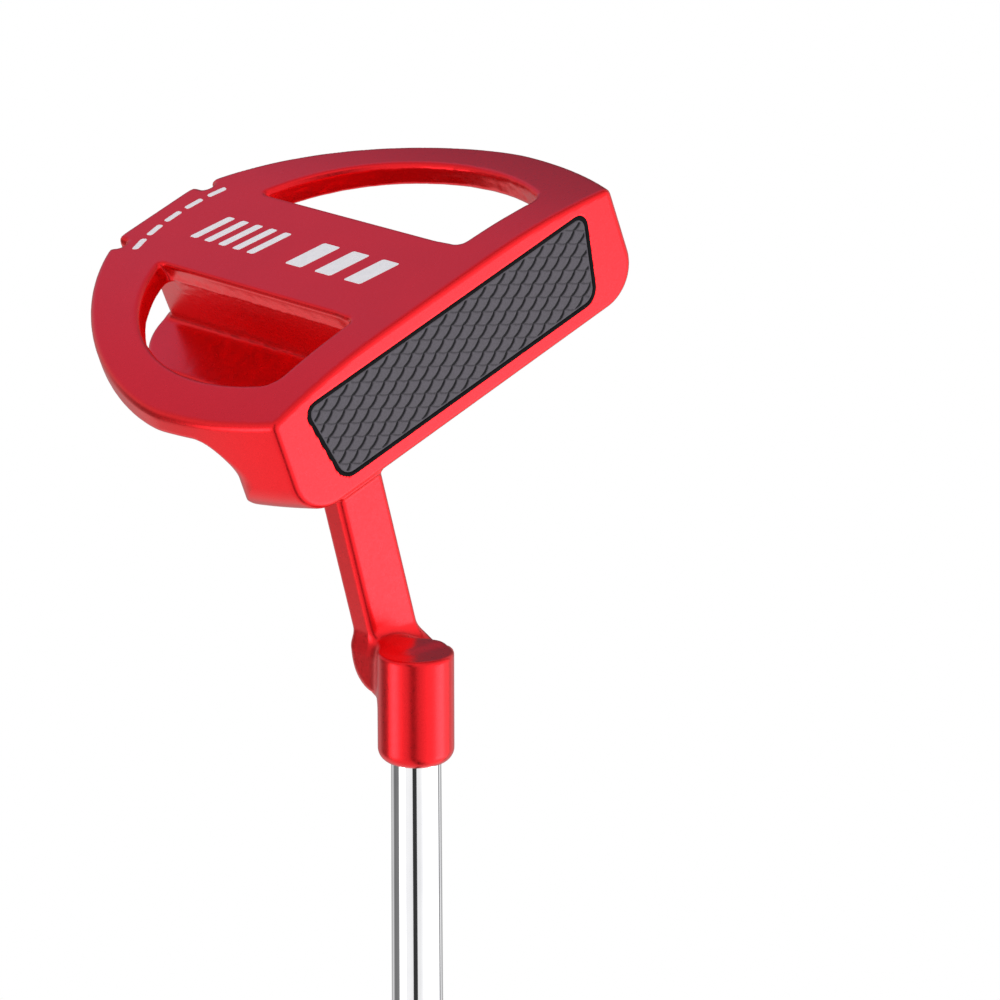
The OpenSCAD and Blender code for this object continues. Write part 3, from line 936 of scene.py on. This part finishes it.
def build_shaft():
    """The tapered tube: its skin, its rims and its bore."""
    heights = np.linspace(-SOCKET_BORE, SHAFT_TOP_S, 90)
    skin = [(shaft_r(s), s) for s in heights]
    bore = [(shaft_r(s) - SHAFT_WALL, s) for s in heights[::-6]]
    bore.append((shaft_r(heights[0]) - SHAFT_WALL, heights[0]))
    piece = lathe("shaft_tube", skin + bore, chrome, 144, closed=True)
    piece.matrix_world = shaft_matrix()
    return piece


stand_for(build_shaft(), "shaft_chrome", "shaft")


# ---------- grip ----------

def grip_r(s):
    """The grip's radius: flared at the mouth, slimmest a third of the way up."""
    third = GRIP_LENGTH / 3
    flare = GRIP_WAIST_R + (GRIP_MOUTH_R - GRIP_WAIST_R) * np.clip(
        1 - 3 * (s - GRIP_S) / GRIP_LENGTH, 0, 1) ** 2
    rise = GRIP_WAIST_R + (GRIP_END_R - GRIP_WAIST_R) * (s - GRIP_S - third) / (2 * third)
    return np.where(s < GRIP_S + third, flare, rise)


def grip_skin(s, angle, below):
    """A point on the grip's skin: round, with a flat front and softened flat edges."""
    r = grip_r(s) - below
    u, v = r * np.cos(angle), r * np.sin(angle)
    flat = -FLAT_SHARE * GRIP_WAIST_R + below
    u = flat + FLAT_SOFT * np.logaddexp(0, (u - flat) / FLAT_SOFT)
    return u, v


def seam_groove(s, angle):
    """How far the skin dips beside the seam at the back."""
    start = GRIP_S + GRIP_LENGTH / 3
    active = smooth_step(start - 1, start + 4, s)
    away = np.abs((angle + math.pi) % (2 * math.pi) - math.pi) * GRIP_END_R
    return SEAM_DEEP * active * smooth_step(1.1, 0.35, away)


def grip_body(name, low, high, rows, material, pattern=None, wall=SLEEVE, rim=0.0, dimple=0.05):
    """A sleeve of the grip between two places, with a leathery skin and closed rims.

    pattern is a function that says where the skin is of a second material, and that material.
    rim is the radius of the lower rim.
    """
    s = np.linspace(low, high, rows)
    angle = np.arange(GRIP_AROUND) * 2 * math.pi / GRIP_AROUND
    ss, aa = np.meshgrid(s, angle, indexing="ij")
    dip = seam_groove(ss, aa)
    if rim:
        t = np.clip(1 - np.abs(ss - low) / rim, 0, 1)
        dip = dip + rim * (1 - np.sqrt(1 - t * t))
    u, v = grip_skin(ss, aa, 0.0)
    dip = dip + dimple * (0.6 * grain(u, v, ss, 1.1) + 0.4 * grain(u, v, ss, 2.3))
    outer_u, outer_v = grip_skin(ss, aa, dip)
    inner_u, inner_v = grip_skin(ss, aa, wall)
    outer = np.stack([outer_u, outer_v, ss], axis=2).reshape(-1, 3)
    inner = np.stack([inner_u, inner_v, ss], axis=2)[[0, -1]].reshape(-1, 3)
    rings = np.arange((rows + 2) * GRIP_AROUND).reshape(rows + 2, GRIP_AROUND)
    low_in, high_in = rings[-2:]
    faces = []
    for row in range(rows - 1):
        faces += bridge(rings[row], rings[row + 1])
    skin_count = len(faces)
    faces += bridge(low_in, rings[0])
    faces += bridge(rings[rows - 1], high_in)
    faces += bridge(high_in, low_in)
    piece = add_mesh(name, np.concatenate([outer, inner]) * MM, faces, material)
    piece.data.set_sharp_from_angle(angle=math.radians(50))
    if pattern:
        is_second, second = pattern
        piece.data.materials.append(second)
        s_mid = (ss[:-1] + ss[1:]).ravel() / 2
        a_mid = (aa[:-1] + math.pi / GRIP_AROUND).ravel()
        chosen = is_second((s_mid - GRIP_S) / GRIP_LENGTH, a_mid).astype(int)
        slots = np.concatenate([chosen, np.zeros(len(piece.data.polygons) - skin_count, int)])
        piece.data.polygons.foreach_set("material_index", slots)
    piece.matrix_world = shaft_matrix()
    return piece


def black_pattern(g, angle):
    """Where the upper sleeve is black: bands, a crescent and wedges, the same on both sides.

    g runs from 0 at the grip's mouth to 1 at the butt. a is 1 along the seam and -1 along the
    middle of the flat.
    """
    around = (angle + math.pi) % (2 * math.pi) - math.pi
    a = 1 - np.abs(around) / (math.pi / 2)
    first = (g > 0.622 - 0.008 * (a + 1)) & (g < 0.676 - 0.052 * (a + 1))
    second = (a > 0) & (g > 0.705 - 0.08 * a) & (g < 0.705 + 0.05 * np.sqrt(np.abs(a)))
    arc = 0.842 + 0.012 * a - 0.05 * np.maximum(-a - 0.2, 0) ** 1.5
    crescent = np.abs(g - arc) < 0.016 * (1.1 - 0.25 * a)
    third = (a < -0.25) & (g > 0.735 + 0.13 * (a + 1)) & (g < arc - 0.03 * (a + 1))
    band = np.abs(g - 0.927 + 0.006 * a) < 0.02
    return first | second | crescent | third | band


lower = grip_body("lower_sleeve_skin", GRIP_S + LIP_LENGTH, SPLIT_S, 300, sleeve_black)
stand_for(lower, "sleeve_black", "grip_lower_sleeve")
upper = grip_body("upper_sleeve_skin", SPLIT_S, CAP_S, 300, sleeve_red,
                  pattern=(black_pattern, sleeve_black))
stand_for(upper, "sleeve_red", "grip_upper_sleeve")
lip = grip_body("mouth_ring_skin", GRIP_S, GRIP_S + LIP_LENGTH, 14, sleeve_black,
                wall=GRIP_MOUTH_R - shaft_r(GRIP_S) - SHAFT_GAP, rim=0.8, dimple=0.0)
stand_for(lip, "sleeve_black", "grip_lip")


def build_cap():
    """The butt cap: the grip's own outline with a domed end and a vent hole."""
    rim, steps = 2.2, 8
    angle = np.arange(GRIP_AROUND) * 2 * math.pi / GRIP_AROUND
    circle = unit_circle(GRIP_AROUND)
    loops = []

    def skin(s, inset):
        return np.column_stack(grip_skin(np.full(GRIP_AROUND, s), angle, inset))

    def add_loop(outline, s):
        loops.append(np.column_stack([outline, np.full(GRIP_AROUND, s)]))

    for s in np.linspace(CAP_S, BUTT_S - rim, steps):
        add_loop(skin(s, 0.0), s)
    for k in range(1, steps + 1):
        a = math.pi / 2 * k / steps
        add_loop(skin(BUTT_S, rim * (1 - math.cos(a))), BUTT_S - rim + rim * math.sin(a))
    edge = skin(BUTT_S, rim)
    vent = circle * VENT_R
    # From the dome's edge to the vent: the share of the way, and how far below the end.
    for share, drop in ((0.15, 0.0), (0.18, 0.3), (0.3, 0.35), (0.34, 0.02), (0.9, 0.0),
                        (1.0, 0.1), (1.0, CAP_END)):
        add_loop(edge + (vent - edge) * share, BUTT_S - drop)
    inner = circle * (shaft_r(CAP_S) + SHAFT_GAP)
    add_loop(inner, SHAFT_TOP_S)
    add_loop(inner, CAP_S)
    points = np.concatenate(loops) * MM
    rings = np.arange(len(points)).reshape(len(loops), GRIP_AROUND)
    faces = []
    for ring, following in zip(rings, np.roll(rings, -1, axis=0)):
        faces += bridge(ring, following)
    piece = add_mesh("butt_cap_dome", points, faces, sleeve_black)
    tidy(piece, 50)
    piece.matrix_world = shaft_matrix()
    return piece


stand_for(build_cap(), "sleeve_black", "butt_cap")


def build_seam():
    """The seam's thread: short slanted stitches laid in the groove."""
    run = GRIP_LENGTH * 2 / 3 - CAP_LENGTH - 3
    first = GRIP_S + GRIP_LENGTH / 3 + 1
    count = int(run / STITCH_SPACE)
    sides, bends = 8, 7
    circle = np.column_stack([unit_circle(sides), np.zeros(sides)])
    points = []
    faces = []
    for k in range(count):
        s0 = first + run * k / count
        rings = (k * bends * sides + np.arange(bends * sides)).reshape(bends, sides)
        for b in range(bends):
            t = b / (bends - 1)
            height = float(grip_r(np.array(s0))) - 0.3 + 0.12 * math.sin(math.pi * t)
            centre = np.array([height, 0.42 * (t - 0.5), s0 + 2.1 * t])
            thick = 0.24 * (0.45 + 0.55 * math.sin(math.pi * (0.12 + 0.76 * t)))
            points.append(centre + thick * circle)
        for b in range(bends - 1):
            faces += bridge(rings[b], rings[b + 1])
        faces.append(rings[0, ::-1].tolist())
        faces.append(rings[-1].tolist())
    piece = add_mesh("seam_stitches", np.concatenate(points) * MM, faces, thread)
    piece.matrix_world = shaft_matrix()
    return piece


stand_for(build_seam(), "seam_thread", "grip_seam")

# ---------- finishes of the CAD nodes that stay ----------

CAD_FINISH = {
    "insert_film": bond_film,
    "front_disc_film": bond_film,
    "rear_disc_film": bond_film,
    "epoxy_sleeve": epoxy,
    "grip_tape": tape,
    "grip_core": foam,
    "grip_paint_marks": white_paint,
}
for node_name, finish in CAD_FINISH.items():
    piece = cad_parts[node_name]
    piece.data.materials.clear()
    piece.data.materials.append(finish)


# ---------- floor, light and camera ----------

def build_floor():
    """A pale floor that fades out round the object and can't be seen from below."""
    material, tree, shader = new_material("pale_floor")
    soft = noise_node(tree, 3, 2.0)
    tree.links.new(colour_range(tree, soft, (0.885, 0.885, 0.885), (0.9, 0.9, 0.9)),
                   shader.inputs["Base Color"])
    shader.inputs["Roughness"].default_value = 0.8
    clear = tree.nodes.new("ShaderNodeBsdfTransparent")
    side = tree.nodes.new("ShaderNodeNewGeometry").outputs["Backfacing"]
    away = tree.nodes.new("ShaderNodeVectorMath")
    away.operation = "LENGTH"
    tree.links.new(tree.nodes.new("ShaderNodeTexCoord").outputs["Object"], away.inputs[0])
    edge = map_range(tree, away.outputs["Value"], FLOOR_FADE, smooth=True)
    either = tree.nodes.new("ShaderNodeMath")
    either.operation = "MAXIMUM"
    tree.links.new(side, either.inputs[0])
    tree.links.new(edge, either.inputs[1])
    mix = tree.nodes.new("ShaderNodeMixShader")
    tree.links.new(either.outputs["Value"], mix.inputs["Fac"])
    tree.links.new(shader.outputs["BSDF"], mix.inputs[1])
    tree.links.new(clear.outputs["BSDF"], mix.inputs[2])
    tree.links.new(mix.outputs["Shader"], tree.nodes["Material Output"].inputs["Surface"])
    form = bmesh.new()
    bmesh.ops.create_grid(form, x_segments=12, y_segments=12, size=6.0)
    floor = add_form("studio_floor", form, material)
    floor.location = (0, 0, -0.0006)
    floor.visible_shadow = False
    floor.visible_diffuse = False
    floor.visible_glossy = False


def build_world():
    """A white studio: white behind the object, soft and uneven in what it reflects."""
    world = bpy.data.worlds.new("studio")
    bpy.context.scene.world = world
    world.use_nodes = True
    tree = world.node_tree
    tree.nodes.clear()
    way = tree.nodes.new("ShaderNodeTexCoord").outputs["Generated"]

    def calc(kind, a, b=None):
        node = tree.nodes.new("ShaderNodeMath")
        node.operation = kind
        for socket, v in zip(node.inputs, (a, b)):
            if isinstance(v, (int, float)):
                socket.default_value = v
            elif v is not None:
                tree.links.new(v, socket)
        return node.outputs[0]

    def facing(direction):
        node = tree.nodes.new("ShaderNodeVectorMath")
        node.operation = "DOT_PRODUCT"
        tree.links.new(way, node.inputs[0])
        node.inputs[1].default_value = Vector(direction).normalized()
        return node.outputs["Value"]

    def fade(v, low, high, first, second):
        return map_range(tree, v, (low, high), (first, second), smooth=True)

    light = 1.0
    for direction, low, high, gain in LOBES:
        light = calc("MULTIPLY", light, fade(facing(direction), low, high, 1.0, gain))
    for azimuth, half, depth in STRIPS:
        a = math.radians(azimuth)
        across = calc("ABSOLUTE", facing((-math.sin(a), math.cos(a), 0)))
        edge = math.sin(math.radians(half))
        narrow = fade(across, edge * 0.85, edge * 1.1, 1.0, 0.0)
        ahead = fade(facing((math.cos(a), math.sin(a), 0)), 0.25, 0.5, 0.0, 1.0)
        shade = calc("SUBTRACT", 1.0, calc("MULTIPLY", calc("MULTIPLY", narrow, ahead), depth))
        light = calc("MULTIPLY", light, shade)
    seen = tree.nodes.new("ShaderNodeLightPath").outputs["Is Camera Ray"]
    tint = fade(facing(LOBES[0][0]), *SOLE_FADE, 0.0, 1.0)
    tint = calc("MULTIPLY", tint, calc("SUBTRACT", 1.0, seen))
    hue = colour_mix(tree, tint, (1, 1, 1, 1), (*SOLE_TINT, 1))
    both = tree.nodes.new("ShaderNodeMix")
    both.data_type = "FLOAT"
    tree.links.new(seen, both.inputs["Factor"])
    tree.links.new(light, both.inputs["A"])
    both.inputs["B"].default_value = 1.0
    background = tree.nodes.new("ShaderNodeBackground")
    tree.links.new(hue, background.inputs["Color"])
    tree.links.new(both.outputs["Result"], background.inputs["Strength"])
    output = tree.nodes.new("ShaderNodeOutputWorld")
    tree.links.new(background.outputs["Background"], output.inputs["Surface"])


build_floor()
build_world()


def add_softbox(name, place, target, size, power):
    """A soft square lamp that looks at a target."""
    lamp = bpy.data.lights.new(name, "AREA")
    lamp.shape = "RECTANGLE"
    lamp.size = size
    lamp.size_y = size
    lamp.energy = power
    box = bpy.data.objects.new(name, lamp)
    bpy.context.scene.collection.objects.link(box)
    box.location = place
    box.rotation_euler = (Vector(target) - Vector(place)).to_track_quat("-Z", "Y").to_euler()


add_softbox("key_softbox", KEY_PLACE, KEY_TARGET, KEY_SIZE, KEY_WATTS)


def place_camera():
    """The camera of the large view: below and in front of the heel, looking up at the sole."""
    camera_data = bpy.data.cameras.new("main_camera")
    camera_data.sensor_width = SENSOR
    camera_data.lens = FOCAL_PIXELS / IMAGE_PIXELS * SENSOR
    camera_data.clip_end = 50
    camera = bpy.data.objects.new("main_camera", camera_data)
    bpy.context.scene.collection.objects.link(camera)
    right = Vector(CAMERA_RIGHT).normalized()
    ahead = Vector(CAMERA_AHEAD).normalized()
    up = right.cross(ahead).normalized()
    right = ahead.cross(up)
    turn = Matrix((right, up, -ahead)).transposed().to_4x4()
    camera.matrix_world = Matrix.Translation(Vector(CAMERA_AT)) @ turn
    bpy.context.scene.camera = camera


place_camera()

bpy.context.scene.view_settings.view_transform = "Standard"
